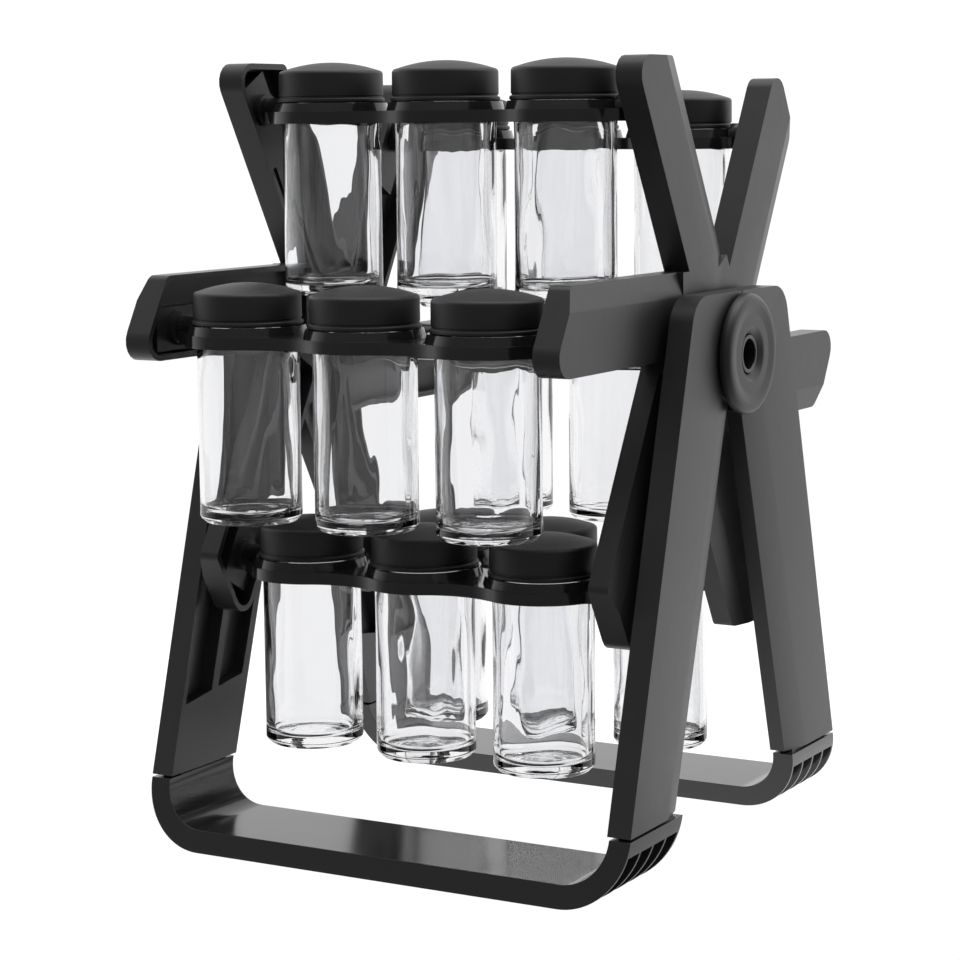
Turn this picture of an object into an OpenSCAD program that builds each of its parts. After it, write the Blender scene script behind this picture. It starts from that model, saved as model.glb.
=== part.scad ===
// Spice carousel: a stand of two side frames and two base rails carries a wheel of two
// six-armed stars on one axle. Six trays hang between the stars, and each holds jars with lids.
// Millimetres. +Z up, X along the axle, -Y the front. The origin is on the table, under the middle.

/* [Jars] */
// Radius of the glass body
jar_r = 21; // [15:0.5:26]
// Thickness of the glass wall
glass_t = 2.2; // [1.5:0.1:3]
// Thickness of the heavy glass base
glass_base_t = 5; // [3:0.5:8]
// Depth of the jar below the tray pivots
jar_drop = 78; // [55:1:95]
// Step in from the glass body to the neck
neck_step = 2.3; // [1.8:0.1:4]
// Height of the neck above the tray collar
neck_h = 11.2; // [8:0.2:12.5]

/* [Lids] */
// How far the lid's foot ring stands out past the glass body
lid_ring_over = 1.7; // [1.4:0.1:2.4]
// Height of the lid from its foot ring to its top edge
lid_h = 13.5; // [11:0.5:17]
// Rise of the domed top
lid_dome_h = 3.5; // [2:0.5:5]

/* [Trays] */
// Number of jars in each tray
jars_per_tray = 3; // [1:1:3]
// Free space between neighbouring glass bodies
jar_gap = 14; // [12:0.5:20]
// Width of the tray outside a jar hole
tray_rim_w = 4.2; // [3.6:0.1:6]
// Half width of the tray at its waists, between two jars
tray_waist = 18.6; // [15:0.2:20]
// Height of the tray's skirt
skirt_h = 5; // [4.5:0.1:7]
// Thickness of the tray's walls and deck
tray_t = 2; // [1.6:0.1:2.6]
// Height of the sloped collar round each jar hole
collar_h = 3.5; // [2.5:0.1:5]
// How far the foot of the collar spreads past its top
collar_spread = 1; // [0.4:0.1:1.4]
// Radius of the tray's pivot pins
pin_r = 3; // [2:0.1:4]

/* [Wheel] */
// Width of a star arm
arm_w = 34.5; // [28:0.5:40]
// Distance that an arm runs on past its tray pivot
arm_over = 29.9; // [24:0.1:36]
// Angle that an arm's end is cut back from square
end_cut = 30; // [15:1:35]
// Depth of a star, from its outer face to its open rim
star_t = 11.5; // [9.5:0.5:16]
// Width of the sloped strip along each arm's trailing edge
arm_strip_w = 9.8; // [6:0.2:12]
// Depth of that strip at the edge
arm_strip_d = 2.7; // [1:0.1:3]
// Least gap between two trays as they pass each other
pass_gap = 8.9; // [4:0.1:14]
// Outer radius of the axle tube
axle_r = 8; // [6:0.5:10]

/* [Stand] */
// Free height under the lowest jar
table_gap = 21.2; // [15:0.2:40]
// Thickness of a side frame
frame_t = 10.3; // [8.5:0.1:14]
// Width across the top of each side frame leg, at the axle
leg_w = 52.6; // [46:0.2:60]
// Outward slope of a leg's outer edge, as run over drop
leg_outer_slope = 0.287; // [0.24:0.001:0.36]
// Outward slope of a leg's inner edge, as run over drop
leg_inner_slope = 0.312; // [0.26:0.001:0.38]
// Height of the side frame above the axle
arch_h = 26; // [24:0.5:34]
// Height of the seam between a leg and its base rail
seam_h = 29.4; // [26:0.2:36]
// Thickness of a base rail
rail_t = 9.3; // [8:0.1:12]
// Radius of the hub cap on each side
cap_r = 25; // [20:0.5:28]

/* [Fits] */
// Radial clearance of the axle in its bushes and of the pins in the stars
run_fit = 0.06; // [0.02:0.01:0.1]
// Clearance between a jar and the tray hole it hangs in
jar_fit = 0.4; // [0.3:0.05:0.8]
// Clearance between a neck and its lid
lid_fit = 0.3; // [0.2:0.05:0.5]
// Clearance between flat faces that slide past each other
face_fit = 0.3; // [0.2:0.05:0.6]
// Gap along the seam between a leg and its rail
seam_gap = 1.2; // [0.8:0.1:2]

/* [Hidden] */
$fn = 64;
small = 0.01;

// Trays and jars, measured from the pivot
pitch = 2 * jar_r + jar_gap;
hole_r = jar_r + jar_fit;
sleeve_r = hole_r + 1.4;
tray_r = hole_r + tray_rim_w;
deck_z = -1;
skirt_z = deck_z - skirt_h;
collar_z = deck_z + collar_h;
bead_r = jar_r + 1;
bead_h = 1.5;
seat_z = collar_z - bead_h;
seat_r = bead_r + jar_fit;
collar_r = seat_r + 1.2;
lid_gap = 0.05;
lid_z = collar_z + lid_gap;
lid_ring_r = jar_r + lid_ring_over;
lid_side_r = lid_ring_r - 0.6;
neck_r = jar_r - neck_step;
lid_top_z = lid_z + lid_h + lid_dome_h;
neck_top_z = collar_z + neck_h;
boss_r = pin_r + 2;
tab_w = 2 * boss_r + 8;
pin_len = 7.5;
pin_end_gap = 0.5;

// The wheel, measured from the axle: one arm for each tray
arms = 6;
arm_step = 360 / arms;
stack_h = lid_top_z + jar_drop;
pivot_r = sqrt(pow(stack_h, 2) + pow(lid_ring_r + jar_r + pass_gap, 2));
pivot_off = (arm_w - arm_strip_w) / 2;
pivot_along = sqrt(pow(pivot_r, 2) - pow(pivot_off, 2));
pivot_lag = asin(pivot_off / pivot_r);
arm_reach = pivot_along + arm_over;
star_plate_t = arm_strip_d + 0.8;
star_cavity_t = star_t - star_plate_t;
star_wall_t = 2.5;
star_rib_t = 5;
star_rib_recess = 4;
star_block_l = 26;
star_block_w = 18;
star_block_over = 14;
star_block_recess = 3;
hub_r = axle_r + 6;

// Stations along the axle, from the middle outwards
star_gap = 6.7;
side_gap = 4.2;
cap_t = 5.5;
cap_dish = 2;
bush_flange_t = 1.2;
last_jar_x = pitch * (jars_per_tray - 1) / 2;
star_rim_x = last_jar_x + tray_r + star_gap;
star_face_x = star_rim_x + star_t;
tab_x = star_rim_x - star_gap / 2;
frame_in_x = star_face_x + side_gap;
frame_out_x = frame_in_x + frame_t;
star_hub_x = frame_in_x - bush_flange_t - face_fit;
cap_x = frame_out_x + cap_t;
cap_back_x = frame_out_x + face_fit;
axle_end_x = cap_x - cap_dish;
bush_r = axle_r + 3;

// The stand
axle_h = pivot_r + jar_drop + table_gap;
leg_drop = axle_h - seam_h;
leg_plate_t = 4.5;
leg_wall_t = 3;
leg_strip_w = 14.9;
leg_strip_d = 3.6;
leg_strip_top = cap_r - 4;
pocket_low_z = seam_h + 29;
pocket_high_z = axle_h - cap_r - 12;
pocket_slant = 6;
rib_from = 0.46;
rib_to = 0.56;
rail_top_z = seam_h - seam_gap;
arch_corner_r = 14;
notch_w = 2;
tongue_t = frame_t - leg_plate_t - 1.8;
tongue_w = 30;
tongue_h = 13;

TRAY_NAMES = ["middle_rear", "top_rear", "top_front", "middle_front", "bottom_front", "bottom_rear"];
function names(kind) =
    [for (k = [0:arms - 1]) for (i = [1:jars_per_tray]) str(kind, "_", TRAY_NAMES[k], "_", i)];

frame_color = "#3a3a3c";
gloss_color = "#222224";
bush_color = "#5c5c60";
glass_color = [0.85, 0.9, 0.92, 0.45];

// Points along an arc, from angle a0 to a1
function arc(cx, cy, r, a0, a1, n = 6) =
    [for (i = [0:n]) let (a = a0 + (a1 - a0) * i / n) [cx + r * cos(a), cy + r * sin(a)]];

// Where a leg's inner and outer edges are, at height z
function leg_in(z) = leg_inner_slope * (axle_h - z);
function leg_out(z) = leg_w + leg_outer_slope * (axle_h - z);
function across_leg(z, share) = leg_in(z) + share * (leg_out(z) - leg_in(z));

// Angle of arm k, and of the pivot that it carries
function arm_angle(k) = arm_step * k;
function pivot_angle(k) = arm_angle(k) - pivot_lag;

// Puts an outline drawn in Y and Z on the plane X = x, and gives it a thickness along +X
module along_x(x, t) {
    translate([x, 0, 0]) rotate([90, 0, 90]) linear_extrude(t) children();
}

// Puts an outline drawn in X and Z across the part, along Y
module along_y(y0, y1) {
    translate([0, y1, 0]) rotate([90, 0, 0]) linear_extrude(y1 - y0) children();
}

// A right-hand piece as drawn, or its mirror image for the left-hand side
module on_side(side) {
    mirror([side < 0 ? 1 : 0, 0, 0]) children();
}

module at_axle() {
    translate([0, 0, axle_h]) children();
}

// A round bar along X
module x_bar(x0, x1, r) {
    translate([x0, 0, 0]) rotate([0, 90, 0]) cylinder(r = r, h = x1 - x0);
}

module at_pivot(k) {
    translate([0, pivot_r * cos(pivot_angle(k)), axle_h + pivot_r * sin(pivot_angle(k))]) children();
}

module at_jar(k, i) {
    at_pivot(k) translate([pitch * (i - 1) - last_jar_x, 0, 0]) children();
}

// ---------------------------------------------------------------- stand

// Outline of a side frame about the axle: a flat-topped arch, open between its legs
module frame_outline() {
    top_y = leg_w - leg_outer_slope * arch_h;
    lean = atan(leg_outer_slope);
    corner_y = top_y + arch_corner_r * (leg_outer_slope - 1 / cos(lean));
    difference() {
        polygon(concat(
            [[-leg_out(seam_h), -leg_drop], [leg_out(seam_h), -leg_drop]],
            arc(corner_y, arch_h - arch_corner_r, arch_corner_r, lean, 90),
            arc(-corner_y, arch_h - arch_corner_r, arch_corner_r, 90, 180 - lean)));
        polygon([[0, 0], [leg_in(seam_h - 5), -leg_drop - 5], [-leg_in(seam_h - 5), -leg_drop - 5]]);
    }
}

// The recess in the inside face of the right-hand leg, on both sides of a long rib
module leg_pocket_outline() {
    low = pocket_low_z;
    high = pocket_high_z;
    over = 5;
    difference() {
        polygon([
            [leg_in(low) + leg_wall_t, low - axle_h + pocket_slant], [leg_out(low) - leg_wall_t, low - axle_h],
            [leg_out(high) - leg_wall_t, high - axle_h], [leg_in(high) + leg_wall_t, high - axle_h]]);
        polygon([
            [across_leg(low - over, rib_from), low - axle_h - over],
            [across_leg(low - over, rib_to), low - axle_h - over],
            [across_leg(high + over, rib_to), high - axle_h + over],
            [across_leg(high + over, rib_from), high - axle_h + over]]);
    }
}

// The sloped strip cut along a leg's inner edge
module leg_strip_cut() {
    lean = atan(leg_inner_slope);
    rise = leg_strip_d / leg_strip_w;
    length = leg_drop * 1.2;
    rotate([lean, 0, 0]) translate([0, 0, -length]) linear_extrude(length - leg_strip_top)
        polygon([
            [frame_out_x, leg_strip_w], [frame_out_x + 1, leg_strip_w], [frame_out_x + 1, -2],
            [frame_out_x - leg_strip_d - 2 * rise, -2]]);
}

// The flat tongue on a rail that reaches up into a leg
module tongue(y_side, grow = 0) {
    y_mid = y_side * across_leg(seam_h, 0.5);
    translate([frame_out_x - leg_plate_t - tongue_t - grow, y_mid - tongue_w / 2 - grow, rail_top_z])
        cube([tongue_t + 2 * grow, tongue_w + 2 * grow, seam_gap + tongue_h + grow]);
}

// A side frame, with a pocket inside each leg and a hole for the bush
module side_frame(side) {
    color(frame_color) on_side(side) difference() {
        at_axle() difference() {
            union() {
                along_x(frame_in_x, frame_t) frame_outline();
                x_bar(frame_in_x, frame_out_x, cap_r - 1);
            }
            for (s = [0, 1]) mirror([0, s, 0]) {
                along_x(frame_in_x - 1, frame_t - leg_plate_t + 1) leg_pocket_outline();
                leg_strip_cut();
            }
            translate([frame_out_x, 0, arch_h]) rotate([45, 0, 0])
                cube([5, notch_w, notch_w], center = true);
            x_bar(frame_in_x - 1, frame_out_x + 1, bush_r);
        }
        for (s = [-1, 1]) tongue(s, 0.1);
    }
}

// A wide U with round corners: everything inside it, from z0 up
module u_block(half_w, z0, z1, r) {
    translate([-half_w, z0 + r]) square([2 * half_w, z1 - z0 - r]);
    translate([-half_w + r, z0]) square([2 * (half_w - r), r + small]);
    for (s = [-1, 1]) translate([s * (half_w - r), z0 + r]) circle(r = r);
}

// The slanted band that carries a leg's line down to the table, from one share of its width to another
module leg_band(share0, share1, x0, x1) {
    along_x(x0, x1 - x0) polygon([
        [across_leg(0, share0), 0], [across_leg(0, share1), 0],
        [across_leg(rail_top_z, share1), rail_top_z], [across_leg(rail_top_z, share0), rail_top_z]]);
}

// The long slots under each bend of a rail, between thin ribs
module rail_slots() {
    slots = 4;
    rib = 0.035;
    slot_w = (1 - rib * (slots + 1)) / slots;
    skin_t = 2.5;
    from_a = -13;
    to_a = -80;
    bend_x = frame_out_x - rail_top_z;
    intersection() {
        along_y(0, leg_out(0) + 5) for (s = [-1, 1]) translate([s * bend_x, rail_top_z])
            mirror([s < 0 ? 1 : 0, 0]) polygon(concat(
                arc(0, 0, rail_top_z + 2, from_a, to_a, 12),
                arc(0, 0, rail_top_z - rail_t + skin_t, to_a, from_a, 12)));
        for (i = [0:slots - 1])
            leg_band(rib + i * (slot_w + rib), (i + 1) * (slot_w + rib), -frame_out_x - 5, frame_out_x + 5);
    }
}

// A base rail, with a tongue and the lighter step under it at each end
module base_rail(y_side) {
    step_in = 1.5;
    step_t = rail_t - 3.5;
    step_w = tongue_w + 8;
    color(gloss_color) mirror([0, y_side < 0 ? 1 : 0, 0]) {
        difference() {
            intersection() {
                along_y(0, leg_out(0) + 5) difference() {
                    u_block(frame_out_x, 0, rail_top_z + 1, rail_top_z);
                    u_block(frame_out_x - rail_t, rail_t, rail_top_z + 1, rail_top_z - rail_t);
                }
                leg_band(0, 1, -frame_out_x - 5, frame_out_x + 5);
            }
            rail_slots();
        }
        for (s = [-1, 1]) on_side(s) {
            tongue(1);
            translate([frame_out_x - rail_t + step_in, across_leg(seam_h, 0.5) - step_w / 2, rail_top_z - small])
                cube([step_t, step_w, seam_gap + small]);
        }
    }
}

// Flanged sleeve between a side frame and the axle
module axle_bush(side) {
    color(bush_color) on_side(side) at_axle() difference() {
        union() {
            x_bar(frame_in_x, frame_out_x, bush_r);
            x_bar(frame_in_x - bush_flange_t, frame_in_x, bush_r + 3);
        }
        x_bar(frame_in_x - 5, frame_out_x + 5, axle_r + run_fit);
    }
}

// ---------------------------------------------------------------- wheel

// The hollow axle that joins the two stars
module axle_tube() {
    color(gloss_color) at_axle() difference() {
        x_bar(-axle_end_x, axle_end_x, axle_r);
        x_bar(-axle_end_x - 1, axle_end_x + 1, axle_r - 1.8);
    }
}

// One arm in its own frame: it runs along +x, its leading edge is y = 0, and its end slopes back
module arm_outline(inset = 0, start = 0) {
    cut = tan(end_cut);
    tip_x = arm_reach - inset / cos(end_cut) - inset * cut;
    heel_y = -arm_w + inset;
    heel_x = tip_x + (heel_y + inset) * cut;
    tip_r = max(8 - inset, 2);
    heel_r = max(4 - inset, 1);
    // the tip corner is 90 - end_cut degrees inside, and the heel corner 90 + end_cut
    tip_back = tip_r / tan((90 - end_cut) / 2);
    heel_back = heel_r / tan((90 + end_cut) / 2);
    polygon(concat(
        [[start, -inset], [start, heel_y]],
        arc(heel_x - heel_back, heel_y + heel_r, heel_r, -90, -end_cut),
        arc(tip_x - tip_back, -inset - tip_r, tip_r, -end_cut, 90)));
}

module each_arm_outline(inset = 0, start = 0) {
    for (k = [0:arms - 1]) rotate(arm_angle(k)) arm_outline(inset, start);
}

// The sloped strip cut along an arm's trailing edge, from the notch between two arms outwards
module arm_strip_cut() {
    rise = arm_strip_d / arm_strip_w;
    notch_x = arm_w / tan(arm_step) + 6;
    translate([0, arm_reach + 5, 0]) rotate([90, 0, 0]) linear_extrude(arm_reach + 5 - notch_x)
        polygon([
            [star_face_x, -arm_w + arm_strip_w], [star_face_x + 1, -arm_w + arm_strip_w],
            [star_face_x + 1, -arm_w - 2], [star_face_x - arm_strip_d - 2 * rise, -arm_w - 2]]);
}

// A star: six arms hollow on the inside, with a rib and a pivot block down each
module star(side) {
    color(frame_color) on_side(side) at_axle() difference() {
        union() {
            difference() {
                along_x(star_rim_x, star_t) each_arm_outline();
                along_x(star_rim_x - 1, star_cavity_t + 1) each_arm_outline(star_wall_t, hub_r + 3);
                for (k = [0:arms - 1]) rotate([arm_angle(k), 0, 0]) arm_strip_cut();
            }
            for (k = [0:arms - 1]) rotate([arm_angle(k), 0, 0]) {
                translate([star_rim_x + star_rib_recess, hub_r + 2, -pivot_off - star_rib_t / 2])
                    cube([star_cavity_t - star_rib_recess + 1, pivot_along - hub_r - 2, star_rib_t]);
                translate([star_rim_x + star_block_recess, pivot_along - star_block_l, -pivot_off - star_block_w / 2])
                    cube([star_cavity_t - star_block_recess + 1, star_block_l + star_block_over, star_block_w]);
                translate([0, pivot_along, -pivot_off]) x_bar(star_rim_x, star_face_x - 1, boss_r + 2);
            }
            x_bar(star_rim_x, star_hub_x, hub_r);
        }
        for (k = [0:arms - 1]) rotate([arm_angle(k), 0, 0]) translate([0, pivot_along, -pivot_off])
            x_bar(star_rim_x - 1, star_rim_x + pin_len + pin_end_gap, pin_r + run_fit);
        x_bar(star_rim_x - 5, star_face_x + 5, axle_r);
    }
}

// Round cap on the axle's end, dished round its centre hole
module hub_cap(side) {
    edge_r = 2.5;
    chamfer = 1;
    eye_r = axle_r + 0.35;
    eye_slope = 2.4;
    color(frame_color) on_side(side) at_axle() rotate([0, 90, 0]) rotate_extrude() polygon(concat(
        [[axle_r, cap_back_x], [cap_r - chamfer, cap_back_x], [cap_r, cap_back_x + chamfer]],
        arc(cap_r - edge_r, cap_x - edge_r, edge_r, 0, 90),
        [[eye_r + eye_slope, cap_x], [eye_r, axle_end_x], [axle_r, axle_end_x]]));
}

// ---------------------------------------------------------------- trays, jars and lids

// Radius of the hollow that runs smoothly from the rim round a jar to a straight line or a mirror
// image at distance d, and is waist away from the middle line there
function hollow_r(d, waist) = (pow(d, 2) + pow(waist, 2) - pow(tray_r, 2)) / (2 * (tray_r - waist));

// Fills from a jar's rim, at the origin, out to distance d along +x, between two hollows
module hollow_sides(d, waist, inset) {
    r = hollow_r(d, waist);
    share = tray_r / (tray_r + r);
    difference() {
        translate([(d - small) * share, -(waist + r) * share])
            square([d * (1 - share) + small, 2 * (waist + r) * share]);
        for (s = [-1, 1]) translate([d, s * (waist + r)]) circle(r = r + inset, $fn = 96);
    }
}

// A tray seen from above: a ring round each jar, joined by smooth waists
module tray_outline(inset = 0) {
    for (i = [1:jars_per_tray]) translate([pitch * (i - 1) - last_jar_x, 0]) {
        circle(r = tray_r - inset);
        if (i < jars_per_tray) hollow_sides(pitch / 2, tray_waist, inset);
        if (i > 1) mirror([1, 0]) hollow_sides(pitch / 2, tray_waist, inset);
    }
}

// The tab that carries a pivot pin, past the last jar
module tab_outline() {
    corner_r = 1.5;
    end = tab_x - last_jar_x - corner_r;
    hollow_sides(end, tab_w / 2, 0);
    translate([end - small, -tab_w / 2 + corner_r]) square([corner_r + small, tab_w - 2 * corner_r]);
    for (s = [-1, 1]) translate([end, s * (tab_w / 2 - corner_r)]) circle(r = corner_r);
}

// A tray, open underneath, with a collar round each jar and a pivot pin at each end
module tray(k) {
    color(gloss_color) at_pivot(k) difference() {
        union() {
            translate([0, 0, skirt_z]) linear_extrude(skirt_h) tray_outline();
            for (i = [1:jars_per_tray]) translate([pitch * (i - 1) - last_jar_x, 0, deck_z])
                cylinder(r1 = collar_r + collar_spread, r2 = collar_r, h = collar_h);
            for (s = [-1, 1]) on_side(s) {
                translate([last_jar_x, 0, skirt_z]) linear_extrude(skirt_h) tab_outline();
                x_bar(last_jar_x + tray_r - 1, star_rim_x - 2 * face_fit, boss_r);
                x_bar(star_rim_x - 2 * face_fit - small, star_rim_x + pin_len, pin_r);
            }
        }
        difference() {
            translate([0, 0, skirt_z - 1]) linear_extrude(skirt_h - tray_t + 1) tray_outline(tray_t);
            for (i = [1:jars_per_tray]) translate([pitch * (i - 1) - last_jar_x, 0, skirt_z - 2])
                cylinder(r = sleeve_r, h = skirt_h);
        }
        for (i = [1:jars_per_tray]) translate([pitch * (i - 1) - last_jar_x, 0, 0]) {
            translate([0, 0, -skirt_h * 2]) cylinder(r = hole_r, h = skirt_h * 4);
            translate([0, 0, seat_z]) cylinder(r = seat_r, h = skirt_h);
        }
    }
}

// A glass jar: thick base, bead under the neck and open mouth
module jar(k, i) {
    foot_r = 3;
    shoulder_h = 3;
    floor_z = -jar_drop + glass_base_t;
    inner_r = jar_r - glass_t;
    mouth_r = neck_r - glass_t;
    color(glass_color) at_jar(k, i) rotate_extrude() polygon(concat(
        [[0, -jar_drop]],
        arc(jar_r - foot_r, -jar_drop + foot_r, foot_r, -90, 0),
        [[jar_r, seat_z + lid_gap], [bead_r, seat_z + lid_gap], [bead_r, collar_z], [neck_r, collar_z],
            [neck_r, neck_top_z], [mouth_r, neck_top_z], [mouth_r, seat_z - 1],
            [inner_r, seat_z - 1 - shoulder_h]],
        arc(inner_r - foot_r, floor_z + foot_r, foot_r, 0, -90),
        [[0, floor_z]]));
}

// A screw lid with a foot ring and a domed top
module lid(k, i) {
    edge_r = 1.6;
    ring_h = 2;
    top_z = lid_z + lid_h;
    inner_r = neck_r + lid_fit;
    ceiling_z = neck_top_z + lid_fit;
    dome_r = (pow(lid_side_r - edge_r, 2) + pow(lid_dome_h, 2)) / (2 * lid_dome_h);
    dome_a = asin((lid_side_r - edge_r) / dome_r);
    color(gloss_color) at_jar(k, i) rotate_extrude() polygon(concat(
        [[inner_r, lid_z], [lid_ring_r, lid_z], [lid_ring_r, lid_z + ring_h], [lid_side_r, lid_z + ring_h]],
        arc(lid_side_r - edge_r, top_z - edge_r, edge_r, 0, 90 - dome_a),
        arc(0, top_z + lid_dome_h - dome_r, dome_r, 90 - dome_a, 90, 8),
        [[0, ceiling_z], [inner_r, ceiling_z]]));
}

// ---------------------------------------------------------------- assembly

side_frame(-1);  // side_frame_left
side_frame(1);  // side_frame_right
base_rail(-1);  // front_base_rail
base_rail(1);  // rear_base_rail
axle_bush(-1);  // axle_bush_left
axle_bush(1);  // axle_bush_right
axle_tube();
star(-1);  // star_left
star(1);  // star_right
hub_cap(-1);  // hub_cap_left
hub_cap(1);  // hub_cap_right
for (k = [0:arms - 1]) {
    tray(k);
    for (i = [1:jars_per_tray]) {
        jar(k, i);
        lid(k, i);
    }
}
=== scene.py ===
"""Spice carousel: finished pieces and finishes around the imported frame, in metres."""

import math

import bmesh
import bpy
import numpy as np
from mathutils import Matrix, Vector


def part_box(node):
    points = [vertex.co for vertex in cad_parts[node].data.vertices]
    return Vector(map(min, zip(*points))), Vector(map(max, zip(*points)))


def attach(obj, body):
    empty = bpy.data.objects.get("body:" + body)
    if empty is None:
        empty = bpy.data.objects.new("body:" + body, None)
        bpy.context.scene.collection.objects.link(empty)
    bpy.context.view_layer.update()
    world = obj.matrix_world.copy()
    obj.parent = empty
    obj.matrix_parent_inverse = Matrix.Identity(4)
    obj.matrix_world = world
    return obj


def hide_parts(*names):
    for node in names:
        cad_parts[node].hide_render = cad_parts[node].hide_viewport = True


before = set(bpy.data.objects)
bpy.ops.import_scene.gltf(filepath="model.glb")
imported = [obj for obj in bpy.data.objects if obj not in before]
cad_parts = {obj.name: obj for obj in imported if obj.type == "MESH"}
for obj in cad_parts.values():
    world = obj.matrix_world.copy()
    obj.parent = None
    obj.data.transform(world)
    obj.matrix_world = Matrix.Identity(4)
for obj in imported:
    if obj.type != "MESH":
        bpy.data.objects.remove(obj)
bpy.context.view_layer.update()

MM = 0.001
TAU = 2 * math.pi
X, Z = 0, 2
TRAYS = ("middle_rear", "top_rear", "top_front", "middle_front", "bottom_front", "bottom_rear")
PLACES = (1, 2, 3)

# ---------------------------------------------------------------- camera

VIEW_AZIMUTH = math.radians(29.474)
VIEW_ELEVATION = math.radians(7.769)
VIEW_ROLL = math.radians(-0.526)
VIEW_DISTANCE = 1.1496
VIEW_TARGET = Vector((-0.0103, 0, 0.15005))
LENS = 98.27
CLIP_END = 20


def aim_camera():
    """Stands the camera off along the viewing direction and turns it by its small roll about that line."""
    level = math.cos(VIEW_ELEVATION)
    east, south = math.sin(VIEW_AZIMUTH) * level, math.cos(VIEW_AZIMUTH) * level
    back = Vector((east, -south, math.sin(VIEW_ELEVATION)))
    right = Vector((0, 0, 1)).cross(back).normalized()
    up = back.cross(right)
    rolled_right = right * math.cos(VIEW_ROLL) + up * math.sin(VIEW_ROLL)
    rolled_up = up * math.cos(VIEW_ROLL) - right * math.sin(VIEW_ROLL)
    camera = bpy.data.objects.new("camera", bpy.data.cameras.new("camera"))
    camera.data.lens = LENS
    camera.data.clip_end = CLIP_END
    turn = Matrix((rolled_right, rolled_up, back)).transposed().to_4x4()
    camera.matrix_world = Matrix.Translation(VIEW_TARGET + back * VIEW_DISTANCE) @ turn
    bpy.context.scene.collection.objects.link(camera)
    bpy.context.scene.camera = camera


# ---------------------------------------------------------------- shader maths

CAMERA_GLOW = 1.02
FAINTEST_THROUGH_GLASS = 0.5
BRIGHTEST_THROUGH_GLASS = 0.97
BRIGHTEST = 6.0


class Value:
    """An output socket in shader maths: an operator on it adds the Math node that works it out."""

    def __init__(self, graph, socket):
        self.graph = graph
        self.socket = socket

    def math(self, operation, *terms):
        return self.graph.node("ShaderNodeMath", {"operation": operation}, dict(enumerate(terms)))

    def __add__(self, other):
        return self.math("ADD", self, other)

    def __sub__(self, other):
        return self.math("SUBTRACT", self, other)

    def __rsub__(self, other):
        return self.math("SUBTRACT", other, self)

    def __mul__(self, other):
        return self.math("MULTIPLY", self, other)

    __radd__ = __add__

    def above(self, low, high):
        """0 where the value is under low, 1 where it is over high, and smooth between."""
        settings = {"interpolation_type": "SMOOTHSTEP"}
        inputs = {"Value": self, "From Min": low, "From Max": high}
        return self.graph.node("ShaderNodeMapRange", settings, inputs)

    def seen(self):
        """The value as a glow: white straight from the camera, neither dim nor glaring through glass."""
        straight = self.graph.node("ShaderNodeLightPath", output="Is Camera Ray")
        through = self.graph.node("ShaderNodeLightPath", output="Is Transmission Ray")
        least = self.math("MAXIMUM", straight * CAMERA_GLOW, through * FAINTEST_THROUGH_GLASS)
        most = BRIGHTEST - through * (BRIGHTEST - BRIGHTEST_THROUGH_GLASS)
        return self.math("MINIMUM", self.math("MAXIMUM", self, least), most)


class Graph:
    """The nodes of one material, or of the world."""

    def __init__(self, owner):
        owner.use_nodes = True
        self.tree = owner.node_tree
        self.tree.nodes.clear()

    def node(self, kind, settings=None, inputs=None, output=0):
        """Adds a node, gives it its settings and then its inputs, and returns one of its outputs."""
        made = self.tree.nodes.new(kind)
        for key, setting in (settings or {}).items():
            setattr(made, key, setting)
        for key, given in (inputs or {}).items():
            if isinstance(given, Value):
                self.tree.links.new(given.socket, made.inputs[key])
            else:
                made.inputs[key].default_value = given
        return Value(self, made.outputs[output]) if made.outputs else None

    def place(self):
        """The point's own coordinates in its piece."""
        return self.node("ShaderNodeTexCoord", output="Object")

    def dot(self, vector, axis):
        """How far a vector reaches along an axis."""
        settings = {"operation": "DOT_PRODUCT"}
        return self.node("ShaderNodeVectorMath", settings, {0: vector, 1: axis}, "Value")

    def noise(self, scale, detail=2.0, rough=0.5, stretch=(1, 1, 1)):
        """Noise from 0 to 1 on the piece's own coordinates, with scale cells in a metre."""
        where = self.node("ShaderNodeMapping", None, {"Vector": self.place(), "Scale": stretch})
        inputs = {"Vector": where, "Scale": scale, "Detail": detail, "Roughness": rough}
        return self.node("ShaderNodeTexNoise", None, inputs)

    def mix(self, share, low, high):
        """A colour that runs from low to high. The Mix node has its colours at inputs 6 and 7, output 2."""
        settings = {"data_type": "RGBA"}
        return self.node("ShaderNodeMix", settings, {0: share, 6: (*low, 1), 7: (*high, 1)}, 2)

    def bump(self, height, depth, under=None):
        """A normal bent by a height from 0 to 1 that stands for depth metres."""
        inputs = {"Height": height, "Strength": 1.0, "Distance": depth}
        if under is not None:
            inputs["Normal"] = under
        return self.node("ShaderNodeBump", None, inputs)

    def surface(self, **inputs):
        """The shader of the whole surface; each name stands for a socket, with _ for a space."""
        named = {key.replace("_", " "): given for key, given in inputs.items()}
        shader = self.node("ShaderNodeBsdfPrincipled", None, named)
        self.node("ShaderNodeOutputMaterial", None, {"Surface": shader})


def finish(name):
    """A new material and its graph."""
    material = bpy.data.materials.new(name)
    return material, Graph(material)


# ---------------------------------------------------------------- finishes

BLUE_TINT = 1.04


def dark(shade, blue_tint):
    """A grey of that shade with its blue raised a little."""
    return shade, shade, shade * blue_tint


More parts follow.
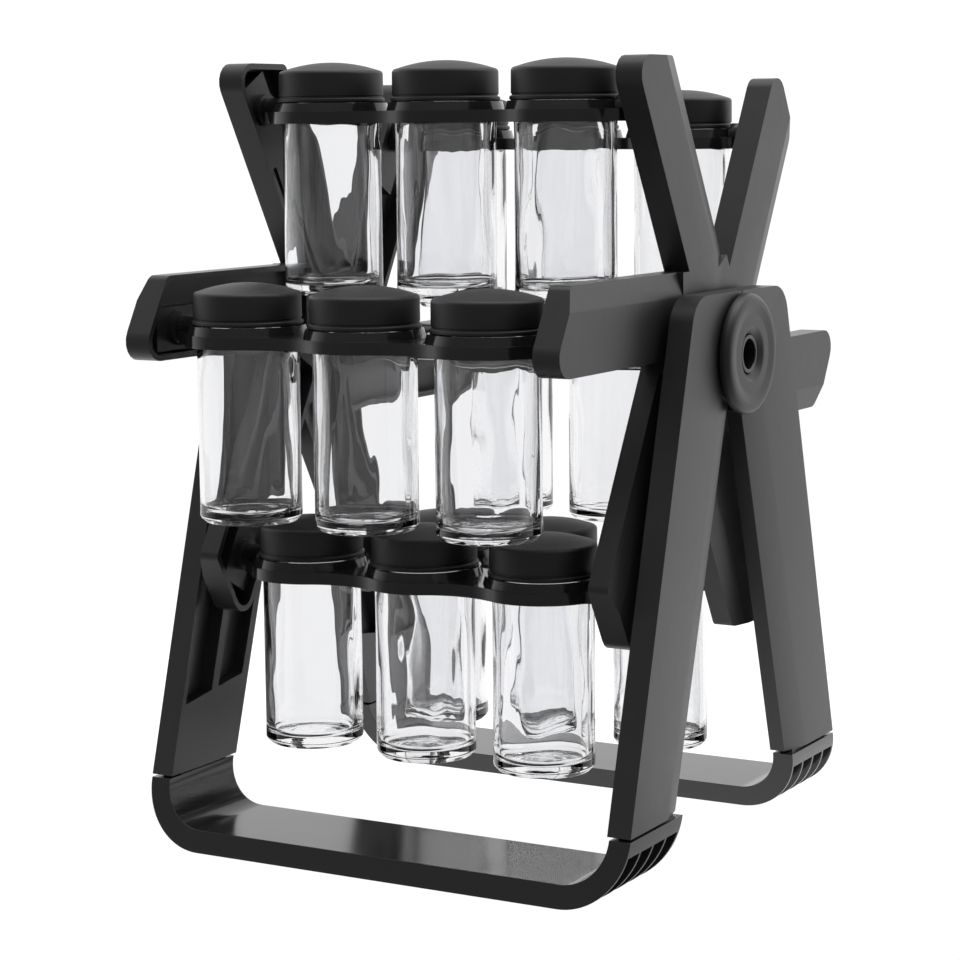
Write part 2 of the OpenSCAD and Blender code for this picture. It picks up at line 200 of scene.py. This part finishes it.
def moulded_plastic(name, shade, roughness, grain):
    """Dark plastic from a spark-textured mould: grain metres deep, a little cloudy, with rubbed patches."""
    material, g = finish(name)
    cloud = g.noise(38, 4, 0.6)
    rubbed = g.noise(11, 3, 0.7).above(0.52, 0.75)
    speck = g.noise(3400, 2, 0.6)
    color = g.mix(cloud * 0.75 + speck * 0.25, dark(shade * 0.82, BLUE_TINT), dark(shade * 1.2, BLUE_TINT))
    broad = g.bump(g.noise(140, 2), grain * 2.5)
    g.surface(
        Base_Color=color,
        Roughness=roughness + cloud * 0.06 - rubbed * 0.05,
        Normal=g.bump(speck, grain, broad),
    )
    return material


def polished_plastic(name, shade, roughness, streak=(1, 1, 1)):
    """Black plastic from a polished mould: faint flow lines along the streak and fine handling marks."""
    material, g = finish(name)
    flow = g.noise(60, 3, 0.55, streak)
    marks = g.noise(900, 2, 0.7).above(0.58, 0.8)
    color = g.mix(flow, dark(shade * 0.8, 1.05), dark(shade * 1.25, BLUE_TINT))
    g.surface(
        Base_Color=color,
        Roughness=roughness + marks * 0.06 + flow * 0.05,
        Normal=g.bump(flow, 0.06 * MM),
    )
    return material


def pressed_glass(name):
    """Clear pressed glass with a trace of grey, soft ripples and fine seeds."""
    material, g = finish(name)
    ripple = g.noise(70, 2, 0.5, (1, 1, 0.25))
    seeds = g.noise(700, 1, 0.5).above(0.74, 0.8)
    g.surface(
        Base_Color=g.mix(ripple, (0.975, 0.978, 0.99), (0.995, 0.995, 1.0)),
        Roughness=seeds * 0.08,
        IOR=1.5,
        Transmission_Weight=1.0,
        Normal=g.bump(ripple, 0.35 * MM),
    )
    return material


# ---------------------------------------------------------------- making pieces

DOUBLES = 0.002 * MM
FLAT = math.radians(0.6)
BEVEL_FROM = math.radians(25)
BEVEL_SEGMENTS = 3
SOFTENED_CREASE = 40


def piece(name, mesh, material, body, nodes):
    """A finished mesh as a piece that stands for its CAD nodes and rides on their body."""
    mesh.materials.clear()
    mesh.materials.append(material)
    made = bpy.data.objects.new(name, mesh)
    bpy.context.scene.collection.objects.link(made)
    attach(made, body)
    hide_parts(*nodes)
    return made


def grid_mesh(name, grid, poles=False):
    """A closed surface over a grid of points, rows round and columns along. The columns run from pole to
    pole, or close on themselves. The face (row, column) joins the points (row, column), (row + 1, column),
    (row + 1, column + 1) and (row, column + 1), and the last row is next to the first."""
    rows, columns, _ = grid.shape
    row, column = np.meshgrid(np.arange(rows), np.arange(columns - 1 if poles else columns), indexing="ij")
    next_row, next_column = (row + 1) % rows, (column + 1) % columns
    corners = (row * columns + column, next_row * columns + column,
               next_row * columns + next_column, row * columns + next_column)
    mesh = bpy.data.meshes.new(name)
    mesh.from_pydata(grid.reshape(-1, 3), [], np.stack([c.ravel() for c in corners], 1))
    clean(mesh)
    return mesh


def clean(mesh, flat=0.0):
    """Merges doubled points, joins faces that meet at less than the flat angle into convex ones, and points
    every face outwards."""
    work = bmesh.new()
    work.from_mesh(mesh)
    bmesh.ops.remove_doubles(work, verts=work.verts, dist=DOUBLES)
    if flat:
        bmesh.ops.dissolve_limit(work, angle_limit=flat, verts=work.verts, edges=work.edges)
        bmesh.ops.connect_verts_concave(work, faces=work.faces)
    bmesh.ops.recalc_face_normals(work, faces=work.faces)
    work.to_mesh(mesh)
    work.free()


def shade_smooth(mesh, crease):
    """Smooth shading, broken where faces meet at more than the crease angle in degrees."""
    mesh.polygons.foreach_set("use_smooth", np.ones(len(mesh.polygons), bool))
    mesh.set_sharp_from_angle(angle=math.radians(crease))


FILLET_STEPS = 6


def outline(*corners, closed=False):
    """A profile in metres through its corners, each (radius, height, fillet) in millimetres: a filleted
    corner becomes an arc that is tangent to both its sides."""
    points = []
    count = len(corners)
    for i, (x, y, fillet) in enumerate(corners):
        here = np.array((x, y), float)
        if not fillet or (not closed and i in (0, count - 1)):
            points.append(here[None])
            continue
        to_last = np.array(corners[i - 1][:2]) - here
        to_next = np.array(corners[(i + 1) % count][:2]) - here
        to_last = to_last / np.linalg.norm(to_last)
        to_next = to_next / np.linalg.norm(to_next)
        half = math.acos(np.clip(to_last @ to_next, -1, 1)) / 2
        middle = to_last + to_next
        centre = here + middle / np.linalg.norm(middle) * fillet / math.sin(half)
        start = here + to_last * fillet / math.tan(half) - centre
        end = here + to_next * fillet / math.tan(half) - centre
        share = np.linspace(0, 1, FILLET_STEPS + 1)[:, None]
        turn = math.pi - 2 * half
        arc = (start * np.sin((1 - share) * turn) + end * np.sin(share * turn)) / math.sin(turn)
        points.append(centre + arc)
    return np.concatenate(points) * MM


def spread(profile, step):
    """The profile with extra points, no further apart than step, which is one number for each side."""
    ends = np.roll(profile, -1, 0)
    counts = np.maximum(1, np.ceil(np.linalg.norm(ends - profile, axis=1) / step)).astype(int)
    start = np.repeat(np.arange(len(profile)), counts)
    share = np.concatenate([np.arange(n) / n for n in counts])[:, None]
    return profile[start] * (1 - share) + ends[start] * share


def turned(name, profile, centre, steps, ripple=None, along=Z, poles=False):
    """Turns a profile about an axis, X or Z: with Z, the point (radius, height) at angle a goes to
    (radius cos a, radius sin a, height). A ripple adds to its radius and height."""
    angle = np.linspace(0, TAU, steps, endpoint=False)[:, None]
    radius, height = (np.broadcast_to(values, (steps, len(profile))) for values in profile.T)
    if ripple:
        more_radius, more_height = ripple(angle, radius, height)
        radius, height = radius + more_radius, height + more_height
    grid = np.stack([radius * np.cos(angle), radius * np.sin(angle), height], -1)
    return grid_mesh(name, np.roll(grid, along - Z, 2) + np.array(centre), poles)


def softened(node, name, width, material, body):
    """A copy of a CAD node with its doubles merged and its edges rounded to a radius of about width."""
    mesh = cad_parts[node].data.copy()
    mesh.name = name
    clean(mesh, FLAT)
    made = piece(name, mesh, material, body, [node])
    bevel = made.modifiers.new("rounded edges", "BEVEL")
    bevel.width = width
    bevel.segments = BEVEL_SEGMENTS
    bevel.limit_method = "ANGLE"
    bevel.angle_limit = BEVEL_FROM
    bevel.miter_outer = "MITER_ARC"
    bevel.use_clamp_overlap = True
    shade_smooth(mesh, SOFTENED_CREASE)
    weighted = made.modifiers.new("even shading", "WEIGHTED_NORMAL")
    weighted.keep_sharp = True
    return made


def extent(node):
    """The low corner, the middle and the size of a node's box."""
    low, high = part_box(node)
    return low, (low + high) / 2, high - low


# ---------------------------------------------------------------- jars and lids

# Sizes are in millimetres, as the profiles are. Those with MM are in metres.
GLASS_STEPS = 144
GLASS_CREASE = 60
WALL_STEP = 4
NECK_STEP = 0.5
BODY_RADIUS = 21
CAVITY_RADIUS = 18.6
BEAD_RADIUS = 22
NECK_RADIUS = 18.7
MOUTH_RADIUS = 16.6

THREAD_PITCH = 3.4 * MM
THREAD_DEPTH = 0.8 * MM
# How far under the rim the thread is at angle 0, and where it starts and ends.
THREAD_LEVEL = 7.6
THREAD_TOP = 1.3
THREAD_FOOT = 9.4
CREST_PEAK = 1.3
CREST_SLOPE = 5.2

RIBS = 48
RIB_RING = 16
RIB_DEPTH = 0.25 * MM
SHRINK = 0.12 * MM

LID_STEPS = 128
LID_CREASE = 50
DOME_RISE = 3.5
DOME_RADIUS = 20.6
DOME_POINTS = 14
LID_INSIDE = 19.9
LID_TOP_THICKNESS = 1.6


def jar_profile(height):
    """Down the outside and up the inside of a jar of that height, standing on height 0."""
    return outline(
        (0, 1.3, 0), (9, 1.0, 4), (13, 0.2, 1), (18.8, 0.0, 1.0), (BODY_RADIUS, 2.2, 2.4),
        (BODY_RADIUS, height - 13.0, 0.6), (BEAD_RADIUS, height - 12.4, 0.4),
        (BEAD_RADIUS, height - 11.4, 0.5), (NECK_RADIUS, height - 10.6, 0.8),
        (NECK_RADIUS, height, 0.8), (MOUTH_RADIUS, height, 0.8), (MOUTH_RADIUS, height - 12, 3),
        (CAVITY_RADIUS, height - 18, 4), (CAVITY_RADIUS, 4.9, 3.4), (11, 4.0, 8), (0, 4.8, 0),
    )


def ramp(value, start, width):
    """0 up to the start and 1 from a width further on, with a straight rise between."""
    return np.clip((value - start) / width, 0, 1)


def glass_ripple(seed, height):
    """Slow waves of the glass: sums of sines round the jar and up it, strongest on the inner wall. Fine
    ribs in the ring under the base, and a screw thread round the neck: its crest is where height over
    pitch, less the share of the turn, is a whole number."""
    draw = np.random.default_rng(seed)
    turns = np.array([2, 3, 5, 7, 9])
    lift = draw.uniform(-60, 60, len(turns))
    phase = draw.uniform(0, TAU, len(turns))
    size = np.array([0.20, 0.16, 0.13, 0.08, 0.05]) * MM * draw.uniform(0.7, 1.3, len(turns))
    turns, lift, slow_phase, size = (values[:, None, None] for values in (turns, lift, phase, size))

    def ripple(angle, radius, z):
        place = turns * angle + lift * z + slow_phase
        wave = (size * np.sin(place + 0.8 * np.sin(z * 95 + phase[0]))).sum(0)
        wide, level = radius / MM, z / MM
        body = ramp(level, 4, 4) * ramp(-level, 19 - height, 6)
        inside = ramp(-wide, -18.75, 0.3) * ramp(wide, 12, 5)
        outside = ramp(wide, 20.5, 0.4) * body
        neck = ramp(wide, 18.2, 0.3) * ramp(-level, THREAD_TOP - height, 1)
        neck = neck * ramp(level, height - THREAD_FOOT, 1)
        climb = (z - (height - THREAD_LEVEL) * MM) / THREAD_PITCH - angle / TAU
        crest = np.clip(CREST_PEAK - np.abs(climb - np.round(climb)) * CREST_SLOPE, 0, 1)
        ribs = np.clip(1 - np.abs(wide - RIB_RING) / 2.6, 0, 1) * np.clip(1 - level / 0.6, 0, 1)
        more = wave * (inside * body - 0.25 * outside) - SHRINK * outside + THREAD_DEPTH * crest * neck
        return more, ribs * RIB_DEPTH * (0.5 + 0.5 * np.cos(RIBS * angle))

    return ripple


def add_jar(tray, place, material):
    """A jar of glass with its own ripples."""
    node = f"jar_{tray}_{place}"
    low, middle, size = extent(node)
    height = size.z / MM
    seed = TRAYS.index(tray) * 10 + place
    corners = jar_profile(height)
    on_neck = (corners[:, 0] > 18 * MM) & (corners[:, 1] > (height - 11) * MM)
    profile = spread(corners, np.where(on_neck, NECK_STEP, WALL_STEP) * MM)[:-1]
    profile = np.concatenate([profile, corners[-1:]])
    ripple = glass_ripple(seed, height)
    centre = (middle.x, middle.y, low.z)
    mesh = turned(f"glass_{tray}_{place}", profile, centre, GLASS_STEPS, ripple, poles=True)
    shade_smooth(mesh, GLASS_CREASE)
    return piece(mesh.name, mesh, material, node, [node])


def lid_profile(height):
    """A lid with its foot at height 0: the foot ring, the side, the dome as an arc of a circle, and the
    inside back down to the foot."""
    edge = height - DOME_RISE
    radius = (DOME_RADIUS ** 2 + DOME_RISE ** 2) / (2 * DOME_RISE)
    reach = np.linspace(DOME_RADIUS, 0, DOME_POINTS)
    crown = np.stack([reach, edge + DOME_RISE - radius + np.sqrt(radius ** 2 - reach ** 2)], 1) * MM
    side = outline(
        (LID_INSIDE, 0.2, 0), (22.0, 0, 0.4), (22.7, 0.5, 0.5), (22.7, 1.7, 0.5), (22.2, 2.0, 0.2),
        (21.75, 2.1, 0.25), (21.7, 2.7, 0.25), (22.1, 2.9, 0.3), (22.05, edge - 0.1, 1.7),
        (DOME_RADIUS, edge + 0.05, 0),
    )
    under = edge - LID_TOP_THICKNESS
    inside = outline((0, under, 0), (LID_INSIDE, under, 1.2), (LID_INSIDE, 0.2, 0))
    return np.concatenate([side, crown[1:], inside[:-1]])


def add_lid(tray, place, material):
    """The lid of one jar."""
    node = f"lid_{tray}_{place}"
    low, middle, size = extent(node)
    centre = (middle.x, middle.y, low.z)
    mesh = turned(f"screw_lid_{tray}_{place}", lid_profile(size.z / MM), centre, LID_STEPS)
    shade_smooth(mesh, LID_CREASE)
    return piece(mesh.name, mesh, material, node, [node])


# ---------------------------------------------------------------- hub caps, bushes and axle

ROUND_STEPS = 160
ROUND_CREASE = 50
CAP_EYE = 8.05
CAP_RADIUS = 25
BUSH_BORE = 8.06
FLANGE_RADIUS = 14
SLEEVE_RADIUS = 11
FLANGE = 1.2
AXLE_RADIUS = 8
AXLE_BORE = 6.2


def add_round(node, name, profile_for, material, body, mirrored=False):
    """A piece turned about the axle. profile_for gives its profile (radius, distance) from the node's inner
    end for the node's length in millimetres."""
    low, middle, size = extent(node)
    profile = profile_for(size.x / MM)
    start = low.x + size.x if mirrored else low.x
    centre = (start, middle.y, middle.z)
    mesh = turned(name, profile * (1, -1) if mirrored else profile, centre, ROUND_STEPS, along=X)
    shade_smooth(mesh, ROUND_CREASE)
    return piece(name, mesh, material, body, [node])


def cap_profile(depth):
    """A fat round rim, a shallow dish and a soft lip round the hole."""
    return outline(
        (CAP_EYE, 0, 0.2), (24.2, 0, 0.4), (CAP_RADIUS, 1.0, 0.6), (CAP_RADIUS, depth, 3.0),
        (20.5, depth, 3), (16.5, depth - 0.7, 5), (11.2, depth - 0.5, 2.2), (8.9, depth - 2.2, 1.2),
        (CAP_EYE, depth - 3.0, 0.3), closed=True,
    )


def bush_profile(depth):
    """A sleeve with a flange at its inner end."""
    return outline(
        (BUSH_BORE, 0, 0.3), (FLANGE_RADIUS, 0, 0.35), (FLANGE_RADIUS, FLANGE, 0.35),
        (SLEEVE_RADIUS, FLANGE, 0.15), (SLEEVE_RADIUS, depth, 0.4), (BUSH_BORE, depth, 0.4), closed=True,
    )


def axle_profile(depth):
    """A tube with its ends eased."""
    return outline(
        (AXLE_BORE, 0, 0.5), (AXLE_RADIUS, 0, 0.5),
        (AXLE_RADIUS, depth, 0.5), (AXLE_BORE, depth, 0.5), closed=True,
    )


# ---------------------------------------------------------------- stage and light

FLOOR_REACH = 0.95
FLOOR_SIDES = 96
STUDIO_AXIS = Vector((-0.33, 0.944, 0))
STUDIO_DARK = 0.24
STUDIO_FLOOR = 1.2
STUDIO_TOP = 1.6
LAMP_WIDTH = 1.2
LAMP_POWER = 6
LAMP_PLACE = Vector((0.9, 0.5, 1.5))
LAMP_AIM = Vector((0, 0, 0.15))


def add_floor():
    """A round glowing floor that fades out at its edge: bright behind the object and dim in front of it,
    and plain white to the camera."""
    angle = np.linspace(0, TAU, FLOOR_SIDES, endpoint=False)
    mesh = bpy.data.meshes.new("floor")
    rim = np.stack([np.cos(angle), np.sin(angle), 0 * angle], 1) * FLOOR_REACH
    mesh.from_pydata(rim, [], [list(range(FLOOR_SIDES))])
    floor = bpy.data.objects.new("floor", mesh)
    bpy.context.scene.collection.objects.link(floor)
    material, g = finish("glowing floor")
    distance = g.node("ShaderNodeVectorMath", {"operation": "LENGTH"}, {0: g.place()}, "Value")
    behind = g.dot(g.place(), STUDIO_AXIS)
    glow = behind.above(-0.3, 0.15) * (STUDIO_FLOOR - STUDIO_DARK) + STUDIO_DARK
    white = g.node("ShaderNodeEmission", None, {"Color": glow.seen(), "Strength": 1.0})
    nothing = g.node("ShaderNodeBsdfTransparent")
    edge = distance.above(FLOOR_REACH * 0.45, FLOOR_REACH * 0.98)
    fading = g.node("ShaderNodeMixShader", None, {0: edge, 1: white, 2: nothing})
    g.node("ShaderNodeOutputMaterial", None, {"Surface": fading})
    mesh.materials.append(material)


def light_studio():
    """A bright white room behind and beside the object, darker in front of it, with a glowing patch
    straight above and a soft lamp to one side."""
    world = bpy.data.worlds.new("studio")
    bpy.context.scene.world = world
    g = Graph(world)
    way = g.node("ShaderNodeTexCoord", output="Generated")
    facing = g.dot(way, STUDIO_AXIS)
    rise = g.node("ShaderNodeSeparateXYZ", None, {"Vector": way}, "Z")
    room = facing.above(-0.45, 0.25)
    room = room.math("MAXIMUM", room, rise.above(0.35, 0.9) * 0.5)
    low = rise.above(-0.04, 0.1) * (1 - rise.above(0.2, 0.5)) * 0.3 + 1
    light = room * low * (1 - STUDIO_DARK) + STUDIO_DARK + rise.above(0.86, 0.94) * STUDIO_TOP
    glow = g.node("ShaderNodeBackground", None, {"Color": light.seen(), "Strength": 1.0})
    g.node("ShaderNodeOutputWorld", None, {"Surface": glow})
    lamp = bpy.data.objects.new("soft lamp", bpy.data.lights.new("soft lamp", "AREA"))
    lamp.data.shape = "DISK"
    lamp.data.size = LAMP_WIDTH
    lamp.data.energy = LAMP_POWER
    lamp.location = LAMP_PLACE
    lamp.rotation_euler = (LAMP_AIM - LAMP_PLACE).to_track_quat("-Z", "Y").to_euler()
    bpy.context.scene.collection.objects.link(lamp)


# ---------------------------------------------------------------- the object


def build():
    """Makes every piece of the object and gives it its finish."""
    charcoal = moulded_plastic("charcoal satin", 0.024, 0.36, 0.03 * MM)
    wheel_charcoal = moulded_plastic("charcoal satin wheel", 0.02, 0.34, 0.03 * MM)
    soft_black = moulded_plastic("soft black", 0.0095, 0.47, 0.035 * MM)
    cap_charcoal = moulded_plastic("charcoal cap", 0.011, 0.38, 0.03 * MM)
    bush_grey = moulded_plastic("bush grey", 0.05, 0.45, 0.02 * MM)
    rail_black = polished_plastic("polished rail", 0.02, 0.14, (0.3, 1, 1))
    tray_black = polished_plastic("polished tray", 0.015, 0.09)
    axle_black = polished_plastic("smooth axle", 0.012, 0.2, (0.1, 1, 1))
    glass = pressed_glass("pressed glass")

    for side in ("left", "right"):
        softened(f"side_frame_{side}", f"frame_{side}", 0.9 * MM, charcoal, "stand")
        softened(f"star_{side}", f"six_arm_star_{side}", 0.7 * MM, wheel_charcoal, "wheel")
        cap, bush, mirrored = f"hub_cap_{side}", f"axle_bush_{side}", side == "left"
        add_round(cap, f"cap_{side}", cap_profile, cap_charcoal, "wheel", mirrored)
        add_round(bush, f"bush_{side}", bush_profile, bush_grey, "stand", mirrored)
    add_round("axle_tube", "hollow_axle", axle_profile, axle_black, "wheel")
    for end in ("front", "rear"):
        softened(f"{end}_base_rail", f"rail_{end}", 0.6 * MM, rail_black, "stand")
    for tray in TRAYS:
        body = f"tray_{tray}"
        softened(body, f"hanging_tray_{tray}", 0.7 * MM, tray_black, body)
        for place in PLACES:
            add_jar(tray, place, glass)
            add_lid(tray, place, soft_black)


aim_camera()
light_studio()
add_floor()
build()
bpy.context.scene.view_settings.view_transform = "Standard"
